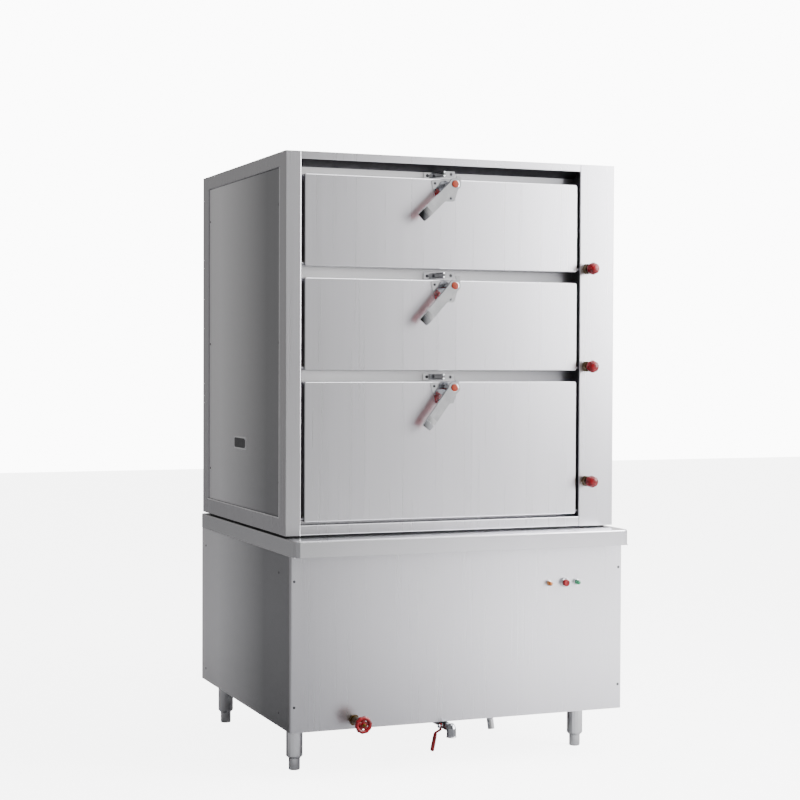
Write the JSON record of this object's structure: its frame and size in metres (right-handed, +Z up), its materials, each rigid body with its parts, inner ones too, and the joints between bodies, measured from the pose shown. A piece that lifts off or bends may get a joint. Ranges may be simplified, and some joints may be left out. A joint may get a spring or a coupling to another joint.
{
  "type": "seafood steaming cabinet",
  "caption": "Stainless steel steam cabinet with drop-down chamber doors, cam-lever latches and steam valves, on a boiler base with a worktop and levelling feet.",
  "frame": {"origin": "on the floor under the middle of the whole object", "axes": "+Z up, -Y towards the front with the doors, +X to the right as seen from the front"},
  "size_m": [1.106, 1.065, 1.872],
  "materials": {
    "brushed_stainless_steel": "vertical brush grain",
    "polished_chrome": "bright plate",
    "galvanised_steel": "dull zinc",
    "cast_brass": "machined",
    "red_plastic": "glossy",
    "silicone_rubber": "matte",
    "black_plastic": "matte",
    "amber_lens": "translucent lens",
    "green_lens": "translucent lens"
  },
  "bodies": {
    "cabinet": {"cabinet_frame": "brushed_stainless_steel", "left_side_panel": "brushed_stainless_steel", "right_side_panel": "brushed_stainless_steel", "cabinet_back_panel": "brushed_stainless_steel", "face_frame": "brushed_stainless_steel", "cabinet_plinth": "black_plastic", "worktop": "brushed_stainless_steel", "base_frame": "galvanised_steel", "base_front_panel": "brushed_stainless_steel", "base_left_panel": "brushed_stainless_steel", "base_right_panel": "brushed_stainless_steel", "base_back_panel": "brushed_stainless_steel", "boiler_tank": "brushed_stainless_steel", "heater_elements": "polished_chrome", "steam_manifold": "cast_brass", "water_inlet": "cast_brass", "control_box": "galvanised_steel", "amber_lamp": "amber_lens", "green_lamp": "green_lens", "button_bezel": "polished_chrome", "drain_valve": "polished_chrome", "overflow_pipe": "brushed_stainless_steel", "lower_chamber": "brushed_stainless_steel", "lower_rack": "polished_chrome", "lower_keeper": "polished_chrome", "middle_chamber": "brushed_stainless_steel", "middle_rack": "polished_chrome", "middle_keeper": "polished_chrome", "upper_chamber": "brushed_stainless_steel", "upper_rack": "polished_chrome", "upper_keeper": "polished_chrome"},
    "lower_door": {"lower_door_skin": "brushed_stainless_steel", "lower_door_liner": "brushed_stainless_steel", "lower_door_gasket": "silicone_rubber", "lower_latch_base": "polished_chrome"},
    "lower_latch": {"lower_latch_lever": "polished_chrome", "lower_latch_grip": "red_plastic"},
    "lower_knob": {"lower_steam_knob": "red_plastic"},
    "middle_door": {"middle_door_skin": "brushed_stainless_steel", "middle_door_liner": "brushed_stainless_steel", "middle_door_gasket": "silicone_rubber", "middle_latch_base": "polished_chrome"},
    "middle_latch": {"middle_latch_lever": "polished_chrome", "middle_latch_grip": "red_plastic"},
    "middle_knob": {"middle_steam_knob": "red_plastic"},
    "upper_door": {"upper_door_skin": "brushed_stainless_steel", "upper_door_liner": "brushed_stainless_steel", "upper_door_gasket": "silicone_rubber", "upper_latch_base": "polished_chrome"},
    "upper_latch": {"upper_latch_lever": "polished_chrome", "upper_latch_grip": "red_plastic"},
    "upper_knob": {"upper_steam_knob": "red_plastic"},
    "handwheel": {"water_handwheel": "red_plastic"},
    "drain_handle": {"drain_lever": "red_plastic"},
    "button": {"push_button": "red_plastic"},
    "float": {"float_arm": "cast_brass"},
    "front_left_foot_screw": {"front_left_foot": "polished_chrome"},
    "front_right_foot_screw": {"front_right_foot": "polished_chrome"},
    "back_left_foot_screw": {"back_left_foot": "polished_chrome"},
    "back_right_foot_screw": {"back_right_foot": "polished_chrome"}
  },
  "joints": [
    {"name": "lower_door_hinge", "type": "hinge", "parent": "cabinet", "child": "lower_door", "pos_m": [-0.036, -0.3685, 0.7755], "axis": [1, 0, 0], "range_deg": [0, 90]},
    {"name": "lower_latch_turn", "type": "hinge", "parent": "lower_door", "child": "lower_latch", "pos_m": [-0.023, -0.3825, 1.168], "axis": [0, -1, 0], "range_deg": [-73.5, 16.5]},
    {"name": "lower_knob_turn", "type": "hinge", "parent": "cabinet", "child": "lower_knob", "pos_m": [0.455, -0.3825, 0.87], "axis": [0, -1, 0], "range_deg": [0, 900]},
    {"name": "middle_door_hinge", "type": "hinge", "parent": "cabinet", "child": "middle_door", "pos_m": [-0.036, -0.3685, 1.2295], "axis": [1, 0, 0], "range_deg": [0, 90]},
    {"name": "middle_latch_turn", "type": "hinge", "parent": "middle_door", "child": "middle_latch", "pos_m": [-0.023, -0.3825, 1.479], "axis": [0, -1, 0], "range_deg": [-68, 22]},
    {"name": "middle_knob_turn", "type": "hinge", "parent": "cabinet", "child": "middle_knob", "pos_m": [0.455, -0.3825, 1.2335], "axis": [0, -1, 0], "range_deg": [0, 900]},
    {"name": "upper_door_hinge", "type": "hinge", "parent": "cabinet", "child": "upper_door", "pos_m": [-0.036, -0.3685, 1.5405], "axis": [1, 0, 0], "range_deg": [0, 90]},
    {"name": "upper_latch_turn", "type": "hinge", "parent": "upper_door", "child": "upper_latch", "pos_m": [-0.023, -0.3825, 1.788], "axis": [0, -1, 0], "range_deg": [-64, 26]},
    {"name": "upper_knob_turn", "type": "hinge", "parent": "cabinet", "child": "upper_knob", "pos_m": [0.455, -0.3825, 1.542], "axis": [0, -1, 0], "range_deg": [0, 900]},
    {"name": "handwheel_turn", "type": "hinge", "parent": "cabinet", "child": "handwheel", "pos_m": [-0.352, -0.3825, 0.177], "axis": [0, -1, 0], "range_deg": [0, 1800]},
    {"name": "drain_turn", "type": "hinge", "parent": "cabinet", "child": "drain_handle", "pos_m": [-0.05, -0.4375, 0.136], "axis": [-1, 0, 0], "range_deg": [0, 90]},
    {"name": "button_travel", "type": "slide", "parent": "cabinet", "child": "button", "axis": [0, 1, 0], "range_m": [0, 0.0045], "stiffness_N_per_m": 400},
    {"name": "float_turn", "type": "hinge", "parent": "cabinet", "child": "float", "pos_m": [-0.352, -0.2605, 0.5376], "axis": [1, 0, 0], "range_deg": [0, 20]},
    {"name": "front_left_foot_turn", "type": "hinge", "parent": "cabinet", "child": "front_left_foot_screw", "pos_m": [-0.48, -0.2645, 0], "axis": [0, 0, 1], "range_deg": [0, 5760]},
    {"name": "front_right_foot_turn", "type": "hinge", "parent": "cabinet", "child": "front_right_foot_screw", "pos_m": [0.48, -0.2645, 0], "axis": [0, 0, 1], "range_deg": [0, 5760]},
    {"name": "back_left_foot_turn", "type": "hinge", "parent": "cabinet", "child": "back_left_foot_screw", "pos_m": [-0.48, 0.4875, 0], "axis": [0, 0, 1], "range_deg": [0, 5760]},
    {"name": "back_right_foot_turn", "type": "hinge", "parent": "cabinet", "child": "back_right_foot_screw", "pos_m": [0.48, 0.4875, 0], "axis": [0, 0, 1], "range_deg": [0, 5760]}
  ]
}
